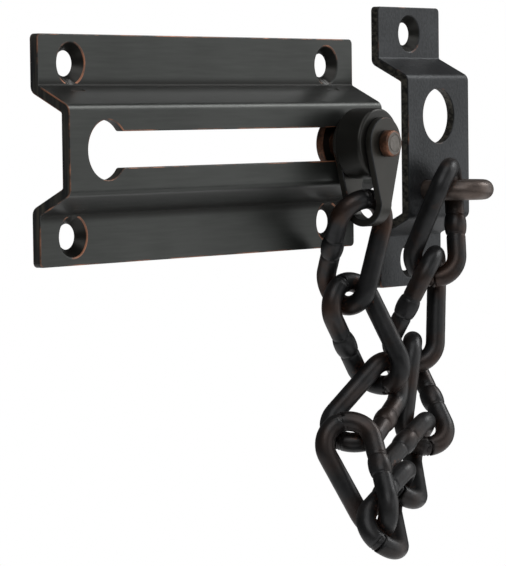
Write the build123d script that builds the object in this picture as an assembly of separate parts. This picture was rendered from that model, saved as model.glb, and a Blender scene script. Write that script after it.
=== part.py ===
from build123d import *

import os
from collections import namedtuple
from math import atan2, cos, radians, sin, sqrt, tan

# Door chain, in millimetres.
# X runs along the slide plate, Z is up and -Y points away from the door.
# The origin is the middle of the slide plate's screw holes, on the plane against the door.
# Every piece is drawn in the wall's own frame: x to the right, y up, z outwards.

# Both folded plates
sheet = 2.0
rise = 7.75
web_run = 4.0
fold_inside = 0.5
fold_outside = 1.8
plate_corner = 1.0
screw_hole = 5.0
countersink = 8.2
countersink_angle = 82

# Slide plate
slide_length = 101.6
slide_height = 44.5
slide_face = 16.8
slide_hole_end = 9.5
slide_hole_edge = 5.6
keyhole = 11.5
keyhole_end = 11.2
keyhole_lip = 0.8
slot_width = 7.0
slot_end = 9.8

# Keeper plate, as fixed beside the closed slide
keeper_width = 23.5
keeper_height = 61.5
keeper_face = 31.0
keeper_gap = 9.8
keeper_drop = 1.2
keeper_hole_edge = 5.8
park_hole = 12.0
park_rise = 6.8

# Sliding stud, a rivet with a button head behind the raised face
button_play = 0.35
button_thick = 2.0
button_edge = 0.6
pin = 4.4
pin_head = 5.6
pin_head_out = 2.0
pin_head_edge = 0.5
pin_play = 0.05
face_play = 0.3
side_play = 0.15
stop_gap = 0.1

# Spacer disc on the stud
spacer_diameter = 14.8
spacer_thick = 6.6
spacer_edge = 0.7

# Stirrup, a folded strap
strap = 1.5
lobe = 11.0
strap_bend_width = 3.8
strap_reach = 17.4

# Staple
staple_wire = 4.4
staple_spread = 10.0
staple_out = 12.8
staple_drop = 9.4
staple_fit = 0.04
staple_head = 6.0
staple_head_thick = 0.9

# Chain links
wire = 4.2
link_inner_length = 20.2
link_inner_width = 7.8
link_twist = 80
bow_radius = 5.0
weld_length = 4.6
weld_swell = 0.35
weld_bury = 0.1
link_gap = 0.8
hook_gap = 2.2
hook_shift = 0.5
loop_drop = 4.8

# How each link hangs, from its support down to the lowest pair, in degrees:
# lean to the right, swing outwards, turn of its upper bow away from the x direction.
slide_strand = ((0, -20, 200), (15, 15, 190), (-65, 0, -5), (-10, 30, 35))
keeper_strand = ((-15, -10, -25), (-15, -15, 155), (-25, 20, 315), (-65, 40, 100), (-65, 45, 95))

# Places that several pieces share
wall = Plane(origin=(0, 0, 0), x_dir=(1, 0, 0), z_dir=(0, -1, 0))
face_front = rise + sheet
neck = slot_width - 2 * button_play
button = keyhole - 2 * button_play
keyhole_x = -slide_length / 2 + keyhole_end
slot_tip_x = slide_length / 2 - slot_end
stud_x = slot_tip_x - stop_gap - neck / 2
keeper_x = slide_length / 2 + keeper_gap + keeper_width / 2
staple_y = -keeper_drop - staple_drop
rear_arm = face_front + face_play
spacer_back = rear_arm + strap + side_play
front_arm = spacer_back + spacer_thick + side_play
front_arm_face = front_arm + strap
strap_middle = (rear_arm + front_arm_face) / 2
bend_radius = (front_arm_face - rear_arm) / 2
bend_y = bend_radius - strap_reach
staple_bend_z = face_front + staple_out - staple_wire / 2 - staple_spread / 2


def mirrored(points):
    """The same run of section points below the middle, in reverse."""
    return [(-y, z, radius) for y, z, radius in points[::-1]]


def folded_section(height, face):
    """Section across the folds: flange, sloping web, raised face, web and flange."""
    shift = sheet * tan(atan2(rise, web_run) / 2)
    inner = face / 2 - shift
    outer = inner + web_run
    front = [
        (height / 2, sheet, 0),
        (outer + shift, sheet, fold_inside),
        (inner + shift, face_front, fold_outside),
    ]
    back = [(height / 2, 0, 0), (outer, 0, fold_outside), (inner, rise, fold_inside)]
    outline = front + mirrored(front) + mirrored(back)[::-1] + back[::-1]
    points = [(y, z) for y, z, radius in outline]
    radii = [radius for y, z, radius in outline]
    return Plane.YZ * make_face(FilletPolyline(*points, radius=radii, close=True))


def folded_plate(width, height, face):
    """A plate folded from one sheet, with its four outer corners rounded."""
    plate = extrude(folded_section(height, face), amount=width / 2, both=True)
    return fillet(plate.edges().filter_by(Axis.Z), plate_corner)


def screw_seat(x, y):
    """Tool for one countersunk screw hole in a flange."""
    depth = (countersink - screw_hole) / 2 / tan(radians(countersink_angle / 2))
    hole = Pos(x, y, sheet / 2) * Cylinder(screw_hole / 2, 2 * sheet)
    cone = Pos(x, y, sheet - depth / 2) * Cone(screw_hole / 2, countersink / 2, depth)
    return hole + cone


def through_face(x, y, diameter):
    """Tool for one round hole through a raised face."""
    return Pos(x, y, face_front - sheet / 2) * Cylinder(diameter / 2, 2 * sheet)


def keyhole_slot():
    """Tool for the round entry hole and the slot that runs from it, with eased lips."""
    slot_last_x = slot_tip_x - slot_width / 2
    run = slot_last_x - keyhole_x
    slot = Pos((keyhole_x + slot_last_x) / 2, 0) * SlotCenterToCenter(run, slot_width)
    opening = Pos(keyhole_x, 0) * Circle(keyhole / 2) + slot
    lips = opening.vertices().filter_by(lambda v: keyhole_x < v.X < keyhole_x + keyhole / 2 and abs(v.Y) > 1)
    opening = fillet(lips, keyhole_lip)
    return Pos(0, 0, rise - sheet / 2) * extrude(opening, 2 * sheet)


def slide_plate():
    """Folded plate with the keyhole slot and four screw holes."""
    plate = folded_plate(slide_length, slide_height, slide_face) - keyhole_slot()
    for side in (-1, 1):
        for level in (-1, 1):
            x = side * (slide_length / 2 - slide_hole_end)
            plate -= screw_seat(x, level * (slide_height / 2 - slide_hole_edge))
    return plate


def keeper_plate():
    """Folded plate with the parking hole, two screw holes and the staple's holes."""
    plate = folded_plate(keeper_width, keeper_height, keeper_face)
    for level in (-1, 1):
        plate -= screw_seat(0, level * (keeper_height / 2 - keeper_hole_edge))
    plate -= through_face(0, park_rise, park_hole)
    for side in (-1, 1):
        plate -= through_face(side * staple_spread / 2, -staple_drop, staple_wire + 2 * staple_fit)
    return Pos(keeper_x, -keeper_drop, 0) * plate


def slide_stud():
    """Rivet: button behind the face, neck in the slot, pin through the stirrup, spread head."""
    button_front = rise - face_play
    shoulder = rear_arm - side_play
    head_back = front_arm_face + side_play
    head_front = head_back + pin_head_out
    outline = [
        (0, button_front - button_thick, 0),
        (button / 2, button_front - button_thick, button_edge),
        (button / 2, button_front, 0),
        (neck / 2, button_front, 0),
        (neck / 2, shoulder, 0),
        (pin / 2, shoulder, 0),
        (pin / 2, head_back, 0),
        (pin_head / 2, head_back, 0),
        (pin_head / 2, head_front, pin_head_edge),
        (0, head_front, 0),
    ]
    points = [(r, z) for r, z, radius in outline]
    radii = [radius for r, z, radius in outline]
    half = Plane.XZ * make_face(FilletPolyline(*points, radius=radii, close=True))
    return Pos(stud_x, 0, 0) * revolve(half, Axis.Z)


def spacer():
    """Thick disc that keeps the stirrup's arms apart."""
    disc = Cylinder(spacer_diameter / 2, spacer_thick)
    disc = fillet(disc.edges().filter_by(GeomType.CIRCLE), spacer_edge)
    disc -= Cylinder(pin / 2 + pin_play, 2 * spacer_thick)
    return Pos(stud_x, 0, spacer_back + spacer_thick / 2) * disc


def strap_channel(radius):
    """Area inside a U of this radius about the strap's middle, open at the top."""
    top = lobe
    arms = Pos((bend_y + top) / 2, strap_middle) * Rectangle(top - bend_y, 2 * radius)
    return arms + Pos(bend_y, strap_middle) * Circle(radius)


def stirrup():
    """Strap folded to a U: two round lobes on the stud, tapering to the bend below."""
    fold = Plane.YZ * (strap_channel(bend_radius) - strap_channel(bend_radius - strap))
    fold = extrude(fold, amount=lobe, both=True)
    foot = Pos(0, bend_y - strap_reach / 2) * Rectangle(strap_bend_width, strap_reach)
    start = Line((-strap_bend_width / 2, bend_y), (strap_bend_width / 2, bend_y))
    outline = make_hull(Circle(lobe / 2).edges() + start.edges()) + foot
    blank = extrude(outline, 2 * front_arm_face)
    hole = Cylinder(pin / 2 + pin_play, 4 * front_arm_face)
    return Pos(stud_x, 0, 0) * ((fold & blank) - hole)


def staple():
    """Wire U in a level plane, both legs through the keeper's face and riveted behind it."""
    near_x = keeper_x - staple_spread / 2
    far_x = keeper_x + staple_spread / 2
    root_z = rise - staple_head_thick / 2
    near = Line((near_x, staple_y, root_z), (near_x, staple_y, staple_bend_z))
    tip = (keeper_x, staple_y, staple_bend_z + staple_spread / 2)
    bend = ThreePointArc((near_x, staple_y, staple_bend_z), tip, (far_x, staple_y, staple_bend_z))
    far = Line((far_x, staple_y, staple_bend_z), (far_x, staple_y, root_z))
    path = Wire([near.edge(), bend.edge(), far.edge()])
    body = sweep(Plane(origin=path @ 0, z_dir=path % 0) * Circle(staple_wire / 2), path=path)
    for x in (near_x, far_x):
        body += Pos(x, staple_y, rise - staple_head_thick / 2) * Cylinder(staple_head / 2, staple_head_thick)
    return body


def bow_ends(turn, z):
    """The two corners of a bow's centre line, turned about the link's axis."""
    side = Vector(cos(radians(turn)), sin(radians(turn)), 0) * ((link_inner_width + wire) / 2)
    return Vector(0, 0, z) + side, Vector(0, 0, z) - side


def weld_swelling(place, along):
    """Slight barrel where a link's wire is welded."""
    ends = wire / 2 - weld_bury
    half = weld_length / 2
    bulge = ThreePointArc((ends, -half), (wire / 2 + weld_swell, 0), (ends, half))
    sides = Polyline((ends, half), (0, half), (0, -half), (ends, -half))
    barrel = revolve(Plane.XZ * make_face([bulge, sides]), Axis.Z)
    return Plane(origin=place, z_dir=along) * barrel


def link():
    """One welded link, upright about its middle: upper bow along x, lower bow turned by the twist."""
    half = (link_inner_length + wire) / 2
    upper = bow_ends(0, half)
    lower = bow_ends(-link_twist, -half)
    middles = [(above + below) * 0.5 for above, below in zip(upper, lower)]
    body = None
    for bow in (upper, lower):
        path = FilletPolyline(middles[0], bow[0], bow[1], middles[1], radius=bow_radius)
        piece = sweep(Plane(origin=path @ 0, z_dir=path % 0) * Circle(wire / 2), path=path)
        body = piece if body is None else body + piece
    return body + weld_swelling(middles[0], upper[0] - lower[0])


Hang = namedtuple("Hang", "down upper lower")


def hang(lean, swing, turn):
    """Directions of a hanging link: along it, across its upper bow and across its lower bow."""
    lean, swing = radians(lean), radians(swing)
    down = Vector(sin(lean), -cos(lean) * cos(swing), cos(lean) * sin(swing))
    level = (Vector(1, 0, 0) - down * down.X).normalized()
    across = down.cross(level)

    def bow(angle):
        return level * cos(radians(angle)) + across * sin(radians(angle))

    return Hang(down, bow(turn), bow(turn + link_twist))


def step_across(bow, next_bow, down):
    """Unit vector from one wire to the next that crosses it, against the chain's run."""
    normal = bow.cross(next_bow).normalized()
    return -normal if normal.dot(down) > 0 else normal


def strand(start, hangs):
    """Upper and lower wire centres of each link, hung in turn from the first upper centre."""
    ends = []
    top = start
    for number, one in enumerate(hangs):
        if number:
            last = hangs[number - 1]
            top = ends[-1][1] + step_across(last.lower, one.upper, last.down + one.down) * bow_reach
        ends.append((top, top + one.down * link_span))
    return ends


def turned(vector, start, end):
    """The vector after the smallest turn that takes one unit vector to another."""
    both = start + end
    return vector - both * (both.dot(vector) / (1 + start.dot(end))) + end * (2 * start.dot(vector))


def swung(ends, hangs, place, goal):
    """Frames of a strand's links, once it has swung about its first wire to bring place to goal."""
    hook = ends[0][0]
    before = (place - hook).normalized()
    after = (goal - hook).normalized()
    frames = []
    for (top, bottom), one in zip(ends, hangs):
        middle = hook + turned((top + bottom) * 0.5 - hook, before, after)
        upper = turned(one.upper, before, after)
        frames.append(Plane(origin=middle, x_dir=upper, z_dir=turned(-one.down, before, after)))
    return frames


def hanging_chain():
    """Both strands, swung about their supports until the lowest bow of one hangs in the other's loop."""
    left = [hang(*angles) for angles in slide_strand]
    right = [hang(*angles) for angles in keeper_strand]
    hook = Vector(stud_x - hook_shift, strap - strap_reach + hook_gap + wire / 2, strap_middle)
    leg = Vector(keeper_x - staple_spread / 2, staple_y, staple_bend_z)
    seat = leg + step_across(Vector(0, 0, 1), right[0].upper, right[0].down) * staple_reach
    left_ends = strand(hook, left)
    right_ends = strand(seat, right)
    left_low = left_ends[-1][1]
    right_low = right_ends[-1][1] - right[-1].down * loop_drop
    left_run = (left_low - hook).length
    right_run = (right_low - seat).length
    base = seat - hook
    level = base.normalized()
    along = (left_run**2 - right_run**2 + base.length**2) / (2 * base.length)
    sag = (left_low + right_low) * 0.5 - hook
    sag = (sag - level * sag.dot(level)).normalized()
    lowest = hook + level * along + sag * sqrt(left_run**2 - along**2)
    return swung(left_ends, left, left_low, lowest), swung(right_ends, right, right_low, lowest)


bow_reach = wire + link_gap
staple_reach = (wire + staple_wire) / 2 + link_gap
link_span = link_inner_length + wire
slide_frames, keeper_frames = hanging_chain()
link_frames = slide_frames + keeper_frames[::-1]
one_link = link()

pieces = {
    "slide_plate": slide_plate(),
    "slide_stud": slide_stud(),
    "spacer": spacer(),
    "stirrup": stirrup(),
    "keeper_plate": keeper_plate(),
    "staple": staple(),
}
for number, frame in enumerate(link_frames, 1):
    pieces[f"link_{number}"] = frame * one_link

os.makedirs("parts", exist_ok=True)
for name, piece in pieces.items():
    export_step(wall * piece, f"parts/{name}.step")
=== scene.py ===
from collections import namedtuple
from math import acos, atan2, cos, hypot, pi, radians, sin, sqrt, tan

import bmesh
import bpy
from mathutils import Matrix, Vector
from mathutils.kdtree import KDTree

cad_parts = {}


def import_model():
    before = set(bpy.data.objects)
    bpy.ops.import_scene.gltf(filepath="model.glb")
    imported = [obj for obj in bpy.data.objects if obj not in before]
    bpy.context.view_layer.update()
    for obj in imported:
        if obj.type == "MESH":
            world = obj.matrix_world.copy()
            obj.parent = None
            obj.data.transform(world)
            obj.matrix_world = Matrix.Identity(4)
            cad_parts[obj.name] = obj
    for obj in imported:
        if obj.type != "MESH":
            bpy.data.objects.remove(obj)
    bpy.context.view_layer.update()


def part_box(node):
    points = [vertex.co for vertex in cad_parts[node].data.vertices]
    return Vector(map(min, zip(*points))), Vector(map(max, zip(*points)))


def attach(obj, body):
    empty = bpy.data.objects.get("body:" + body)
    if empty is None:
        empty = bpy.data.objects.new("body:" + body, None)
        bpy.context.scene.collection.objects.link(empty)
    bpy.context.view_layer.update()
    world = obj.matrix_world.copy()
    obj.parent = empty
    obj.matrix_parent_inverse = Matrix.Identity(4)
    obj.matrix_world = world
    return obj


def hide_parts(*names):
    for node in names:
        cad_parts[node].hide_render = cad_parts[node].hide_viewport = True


bl_info = {
    "name": "Door chain",
    "version": (1, 0, 0),
    "blender": (4, 5, 0),
    "location": "3D View > Sidebar > Door chain",
    "description": "Dresses a door chain: folded plates, riveted fittings and a chain of twisted links",
    "category": "Object",
}

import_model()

MM = 0.001

# The wall's own frame is used for drawing: x to the right, y up, z outwards from the door.


def world(point):
    """A point of the wall's frame in the shared frame."""
    x, up, out = point
    return Vector((x, -out, up))


def node_size(node):
    """Width, height and middle of a CAD node, across the wall."""
    low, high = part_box(node)
    return high.x - low.x, high.z - low.z, (low.x + high.x) / 2, (low.z + high.z) / 2


def linear(hex_colour):
    """An sRGB hex colour as linear red, green, blue and alpha."""
    channels = []
    for start in (1, 3, 5):
        value = int(hex_colour[start:start + 2], 16) / 255
        channels.append(value / 12.92 if value <= 0.04045 else ((value + 0.055) / 1.055) ** 2.4)
    return (*channels, 1.0)


def length(name, description, millimetres):
    """A length property with its default in millimetres."""
    return bpy.props.FloatProperty(name=name, description=description, default=millimetres * MM,
                                   unit="LENGTH", precision=5)


def angle(name, description, degrees):
    """An angle property with its default in degrees."""
    return bpy.props.FloatProperty(name=name, description=description, default=radians(degrees),
                                   subtype="ANGLE")


def colour(name, description, hex_colour):
    """A colour property with its default as an sRGB hex value."""
    return bpy.props.FloatVectorProperty(name=name, description=description, size=4, min=0, max=1,
                                         subtype="COLOR", default=linear(hex_colour))


def number(name, description, default):
    """A plain number property."""
    return bpy.props.FloatProperty(name=name, description=description, default=default)


class PlateSettings(bpy.types.PropertyGroup):
    """Sizes of the two folded plates."""

    sheet: length("Sheet", "Thickness of the sheet both plates are folded from", 2.0)
    rise: length("Rise", "Height of the raised face's back above the door", 7.75)
    web_run: length("Web run", "Sideways run of the sloping webs", 4.0)
    fold_inside: length("Inner fold", "Radius on the hollow side of each fold", 0.5)
    fold_outside: length("Outer fold", "Radius on the outer side of each fold", 1.8)
    corner: length("Corner", "Radius of the plates' four corners", 1.0)
    edge: length("Edge rounding", "Width of the rounded sheared edges, where the finish rubs off", 0.22)
    screw_hole: length("Screw hole", "Diameter of the screw holes", 5.0)
    countersink: length("Countersink", "Diameter of the screw seats at the surface", 8.2)
    countersink_angle: angle("Seat angle", "Full angle of the screw seats", 82)
    slide_face: length("Slide face", "Height of the slide's raised face", 16.8)
    slide_hole_end: length("Slide hole from end", "From the slide's end to its screw holes", 9.5)
    slide_hole_edge: length("Slide hole from edge", "From the slide's long edge to its screw holes", 5.6)
    keyhole: length("Keyhole", "Diameter of the round entry hole", 11.5)
    keyhole_end: length("Keyhole from end", "From the slide's end to the keyhole's middle", 11.2)
    keyhole_lip: length("Keyhole lip", "Radius of the lips between keyhole and slot", 0.8)
    slot: length("Slot", "Width of the slot", 7.0)
    slot_end: length("Slot from end", "From the slide's end to the slot's tip", 9.8)
    keeper_face: length("Keeper face", "Height of the keeper's raised face", 31.0)
    keeper_hole_edge: length("Keeper hole from edge", "From the keeper's short edge to its screw holes", 5.8)
    park_hole: length("Parking hole", "Diameter of the keeper's parking hole", 12.0)
    park_rise: length("Parking hole height", "Height of the parking hole above the keeper's middle", 6.8)


class FittingSettings(bpy.types.PropertyGroup):
    """Sizes of the stud, spacer, stirrup and staple."""

    button: length("Button", "Diameter of the stud's button behind the face", 10.8)
    button_thick: length("Button thickness", "Thickness of the button", 2.0)
    neck: length("Neck", "Diameter of the stud in the slot", 6.3)
    pin: length("Pin", "Diameter of the stud's pin through the stirrup", 4.4)
    pin_play: length("Pin play", "Room between the pin and what turns on it", 0.05)
    pin_head: length("Pin head", "Diameter of the stud's spread front head", 5.6)
    pin_head_out: length("Pin head height", "Height of the spread head", 2.0)
    face_play: length("Face play", "Room between the slide's face and what runs along it", 0.3)
    side_play: length("Side play", "Room between the spacer and the stirrup's arms", 0.15)
    spacer: length("Spacer", "Diameter of the spacer disc", 14.8)
    spacer_thick: length("Spacer thickness", "Thickness of the spacer disc", 6.6)
    spacer_edge: length("Spacer edge", "Rounding of the spacer's rims", 0.7)
    strap: length("Strap", "Thickness of the stirrup's strap", 1.5)
    lobe: length("Lobe", "Diameter of the stirrup's round lobes", 11.0)
    strap_bend_width: length("Bend width", "Width of the strap at its bend", 3.8)
    strap_reach: length("Stirrup reach", "From the stud's middle to the bottom of the stirrup", 17.4)
    strap_edge: length("Strap edge", "Width of the strap's rounded edges", 0.2)
    staple_wire: length("Staple wire", "Diameter of the staple's wire", 4.4)
    staple_spread: length("Staple spread", "Between the middles of the staple's legs", 10.0)
    staple_out: length("Staple reach", "How far the staple stands out from the face", 12.8)
    staple_drop: length("Staple drop", "Depth of the staple below the keeper's middle", 9.4)
    staple_head: length("Staple head", "Diameter of the staple's riveted ends", 6.0)
    staple_head_thick: length("Staple head thickness", "Thickness of the riveted ends", 0.9)


class ChainSettings(bpy.types.PropertyGroup):
    """Sizes of the chain's links and how closely they hang."""

    wire: length("Wire", "Diameter of the links' wire", 4.2)
    inner_length: length("Inner length", "Length of a link's opening", 20.2)
    inner_width: length("Inner width", "Width of a link's opening", 7.8)
    twist: angle("Twist", "Turn of the lower bow against the upper", 80)
    bow_radius: length("Bow radius", "Radius of the bends at the bows' corners", 5.0)
    weld_length: length("Weld length", "Length of the swelling at the weld", 4.6)
    weld_swell: length("Weld swelling", "Rise of the weld over the wire", 0.35)
    weld_ring: length("Weld ring", "Depth of the pinched rings at both ends of the weld", 0.14)
    gap: length("Gap", "Room between two crossing wires", 0.8)
    hook_gap: length("Hook gap", "Room between the first link and the stirrup's bend", 2.2)
    hook_shift: length("Hook shift", "How far the first link sits to the left of the stirrup's middle", 0.5)
    loop_drop: length("Loop drop", "How high the lowest bow hangs in the last loop", 4.8)
    wear_reach: length("Wear reach", "How far from a contact the finish is rubbed", 3.4)
    sides: bpy.props.IntProperty(name="Wire sides", description="Facets round the wire", default=28, min=8)


class FinishSettings(bpy.types.PropertyGroup):
    """Colours of the finishes."""

    sheet_dark: colour("Sheet dark", "Deeper tone of the slide plate's finish", "#2d2f2d")
    sheet_light: colour("Sheet light", "Lighter tone of the slide plate's finish", "#373937")
    keeper_dark: colour("Keeper dark", "Deeper tone of the keeper's finish", "#232527")
    keeper_light: colour("Keeper light", "Lighter tone of the keeper's finish", "#36383a")
    strap_dark: colour("Strap dark", "Deeper tone of the stirrup's finish", "#252420")
    strap_light: colour("Strap light", "Lighter tone of the stirrup's finish", "#302f2b")
    # The spacer's deeper tone is also painted shade in the screw seats, on the button and in the hollow
    # folds.
    spacer_dark: colour("Spacer dark", "Deeper tone of the spacer, the seats and the folds' grime", "#191917")
    spacer_light: colour("Spacer light", "Lighter tone of the spacer's finish", "#262522")
    wire_dark: colour("Wire dark", "Deeper tone of the chain's finish", "#18191a")
    wire_light: colour("Wire light", "Lighter tone of the chain's finish", "#2b2b2c")
    staple_dark: colour("Staple dark", "Deeper tone of the worn staple and of bare pits", "#463e3a")
    staple_light: colour("Staple light", "Lighter tone of the worn staple", "#6a605a")
    sheared: colour("Sheared", "Brownish grey of the sheared edges", "#4c4942")
    brown: colour("Rubbed brown", "Brown undertone where the finish is thin", "#412c20")
    copper: colour("Copper", "Bare metal where the finish is rubbed off", "#95644b")
    steel: colour("Bare grey", "Grey metal at the middle of the pin's end", "#74716b")


class StageSettings(bpy.types.PropertyGroup):
    """Camera, lamps and floor."""

    lens: number("Lens", "Focal length in millimetres on a 36 mm frame", 193.4)
    yaw: angle("Camera yaw", "Turn of the camera from straight at the door", 52.231)
    pitch: angle("Camera pitch", "How far the camera looks down", 3.187)
    roll: angle("Camera roll", "Lean of the camera", -0.718)
    camera: bpy.props.FloatVectorProperty(name="Camera place", description="Where the camera stands",
                                          subtype="TRANSLATION", default=(-0.48183, -0.38687, 0.00655))
    floor: colour("Floor", "Colour of the floor", "#f2f2f2")
    floor_drop: length("Floor depth", "Floor below the middle of the slide plate", 210)
    floor_size: length("Floor size", "Radius of the floor", 420)
    floor_shift: length("Floor shift", "Middle of the floor to the right of the slide plate's middle", 20)
    key: number("Key lamp", "Power of the lamp at the upper left in watts", 5.5)
    side: number("Side lamp", "Power of the large lamp at the right that the faces mirror, in watts", 5.0)
    ridge: number("Ridge lamp", "Power of the small lamp that draws the folds' bright lines, in watts", 3.2)
    floor_glow: number("Floor glow", "Light the floor gives by itself, so that it reads as white", 0.4)
    front: number("Front lamp", "Power of the soft lamp straight in front of the door, in watts", 2.5)
    top: number("Top lamp", "Power of the lamp overhead in watts", 2.0)
    sky: number("Sky", "Strength of the even light from all round", 0.11)


class DoorChainSettings(bpy.types.PropertyGroup):
    """All settings of the door chain."""

    plates: bpy.props.PointerProperty(type=PlateSettings, name="Plates", description="The folded plates")
    fittings: bpy.props.PointerProperty(type=FittingSettings, name="Fittings", description="Stud to staple")
    chain: bpy.props.PointerProperty(type=ChainSettings, name="Chain", description="The links")
    finish: bpy.props.PointerProperty(type=FinishSettings, name="Finish", description="The colours")
    stage: bpy.props.PointerProperty(type=StageSettings, name="Stage", description="Camera, lamps and floor")


# How each link hangs, from its support down to the lowest pair, in degrees:
# lean to the right, swing outwards, turn of its upper bow away from the x direction.
SLIDE_STRAND = ((0, -20, 200), (15, 15, 190), (-65, 0, -5), (-10, 30, 35))
KEEPER_STRAND = ((-15, -10, -25), (-15, -15, 155), (-25, 20, 315), (-65, 40, 100), (-65, 45, 95))

# Directions of a hanging link: along it, across its upper bow and across its lower bow.
Hang = namedtuple("Hang", "down upper lower")

# Depths of the stirrup's rear arm, the spacer's back, the stirrup's face and middle, and the bend's height.
Levels = namedtuple("Levels", "rear spacer_back face middle bend_up")

# Order of the finishes on the plates and the strap, and on the stud; the seats and the button take the
# spacer's dark finish as painted shade.
SURFACE, RUBBED_EDGE, SHEARED_END, SHADED_SEAT = range(4)
COPPER, BARE_END, SHADED_BUTTON = range(3)

# How much a face's normal points away from the wall: below the first it walls a cut, above the second
# it is flat sheet.
CUT_WALL = 0.2
FLAT_SHEET = 0.9

# Angles past which an edge is rounded, and past which it stays sharp in the shading of folded pieces
# and of turned and drawn ones.
ROUNDED_FROM = radians(35)
CREASED_FROM = radians(50)
TURNED_CREASE = radians(40)

# The ring pressed into the rivet's end: share of the end's radius, and depth. The end is bare metal inside
# one share of its radius, and the button takes painted shade inside another.
FINE = 0.15 * MM
PRESSED_RING = ((0.74, 0), (0.70, FINE), (0.60, FINE), (0.56, 0))
BARE_SHARE = 0.8
BUTTON_SHARE = 0.95

# Points along a link lie this far apart, and the weld's rings take this share of half its length. The
# staple's legs and the round bends have fixed counts of points.
PATH_STEP = 0.22 * MM
WELD_RING_SHARE = 0.16
LEG_STEPS = 12
BEND_STEPS = 32

# How far a link may lie from its CAD node, how close points are one, and what radius counts as none.
NODE_TOLERANCE = 0.3 * MM
MERGE_DISTANCE = 0.002 * MM
ON_AXIS = 0.0001 * MM

# Soft lamps by the name of their power in the settings, with place and width in metres.
# All face the object's middle.
LAMPS = (
    ("key", (-0.75, -0.55, 0.75), 0.8),
    ("side", (0.95, -0.75, 0.10), 1.1),
    ("ridge", (0.80, -0.38, 0.62), 0.35),
    ("front", (0.10, -1.30, 0.15), 0.8),
    ("top", (0.0, -0.25, 0.9), 0.6),
)
OBJECT_MIDDLE = Vector((0.03, -0.01, -0.02))


def fillet(before, after, radius, steps):
    """Points of the arc that rounds a corner at the origin between two unit directions."""
    half = acos(max(-1, min(1, before.dot(after)))) / 2
    reach = radius / tan(half)
    middle = (before + after).normalized() * (radius / sin(half))
    first = before * reach - middle
    last = after * reach - middle
    sweep = pi - 2 * half
    arc = []
    for step in range(steps + 1):
        part = step / steps
        spoke = first * sin((1 - part) * sweep) + last * sin(part * sweep)
        arc.append(middle + spoke / sin(sweep))
    return arc


def rounded_outline(points, steps=9):
    """A closed outline with each corner rounded to its own radius, as plain points."""
    outline = []
    count = len(points)
    for place, (u, v, radius) in enumerate(points):
        corner = Vector((u, v))
        if radius <= 0:
            outline.append(corner)
            continue
        before = (Vector(points[place - 1][:2]) - corner).normalized()
        after = (Vector(points[(place + 1) % count][:2]) - corner).normalized()
        outline += [corner + offset for offset in fillet(before, after, radius, steps)]
    return outline


def circle(radius, x=0, y=0, steps=64, start=0, sweep=2 * pi):
    """Points round a circle, or along an arc without its last point."""
    turns = [start + sweep * step / steps for step in range(steps)]
    return [Vector((x + radius * cos(turn), y + radius * sin(turn))) for turn in turns]


def new_object(name, mesh):
    """An object at the origin that holds the mesh."""
    made = bpy.data.objects.new(name, mesh)
    bpy.context.scene.collection.objects.link(made)
    return made


def finished(name, build):
    """The object of a finished bmesh."""
    mesh = bpy.data.meshes.new(name)
    build.to_mesh(mesh)
    build.free()
    return new_object(name, mesh)


def prism(name, outline, low, high, place):
    """A solid between two copies of an outline; place turns outline and depth into a wall point."""
    build = bmesh.new()
    rings = [[build.verts.new(world(place(u, v, depth))) for u, v in outline] for depth in (low, high)]
    build.faces.new(rings[0][::-1])
    build.faces.new(rings[1])
    for i in range(len(outline)):
        j = (i + 1) % len(outline)
        build.faces.new((rings[0][i], rings[0][j], rings[1][j], rings[1][i]))
    bmesh.ops.recalc_face_normals(build, faces=build.faces)
    return finished(name, build)


def along_x(u, v, depth):
    """Outline in a section across the folds, depth along the plate."""
    return depth, u, v


def outwards(u, v, depth):
    """Outline on the wall, depth away from it."""
    return u, v, depth


def lathe(name, profile, x, up, steps=64):
    """A solid turned about an axis that stands out from the wall; a profile off the axis gives a ring."""
    build = bmesh.new()
    rings = []
    for radius, out in profile:
        if radius < ON_AXIS:
            rings.append([build.verts.new(world((x, up, out)))] * steps)
            continue
        rings.append([build.verts.new(world((x + p.x, up + p.y, out))) for p in circle(radius, steps=steps)])
    count = len(rings)
    from_axis = profile[0][0] < ON_AXIS
    for i in range(count - 1 if from_axis else count):
        back, front = rings[i], rings[(i + 1) % count]
        for k in range(steps):
            m = (k + 1) % steps
            corners = dict.fromkeys((back[k], back[m], front[m], front[k]))
            build.faces.new(tuple(corners))
    bmesh.ops.recalc_face_normals(build, faces=build.faces)
    return finished(name, build)


def turned(name, outline, x, up, corner_steps=5, steps=64):
    """A turned solid whose profile has rounded corners."""
    profile = [(point.x, point.y) for point in rounded_outline(outline, corner_steps)]
    return lathe(name, profile, x, up, steps)


def settle(piece):
    """Turns the piece's modifiers into a plain mesh."""
    graph = bpy.context.evaluated_depsgraph_get()
    shape = piece.evaluated_get(graph)
    mesh = bpy.data.meshes.new_from_object(shape, preserve_all_data_layers=True, depsgraph=graph)
    piece.modifiers.clear()
    old = piece.data
    piece.data = mesh
    bpy.data.meshes.remove(old)


def combine(piece, tool, operation):
    """Cuts a tool out of the piece, or keeps what both share, and removes the tool."""
    change = piece.modifiers.new("combine", "BOOLEAN")
    change.operation = operation
    change.solver = "EXACT"
    change.object = tool
    settle(piece)
    bpy.data.objects.remove(tool)
    if not piece.data.polygons:
        raise RuntimeError(f"nothing is left of {piece.name}")


def shade(piece, build, crease):
    """Ends an edit of the piece: smooth apart from creases, with large faces kept flat in the shading."""
    for face in build.faces:
        face.smooth = True
    for edge in build.edges:
        edge.smooth = edge.calc_face_angle(0) < crease
    build.to_mesh(piece.data)
    build.free()
    change = piece.modifiers.new("weigh", "WEIGHTED_NORMAL")
    change.mode = "FACE_AREA"
    change.weight = 80
    change.keep_sharp = True
    settle(piece)


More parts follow.
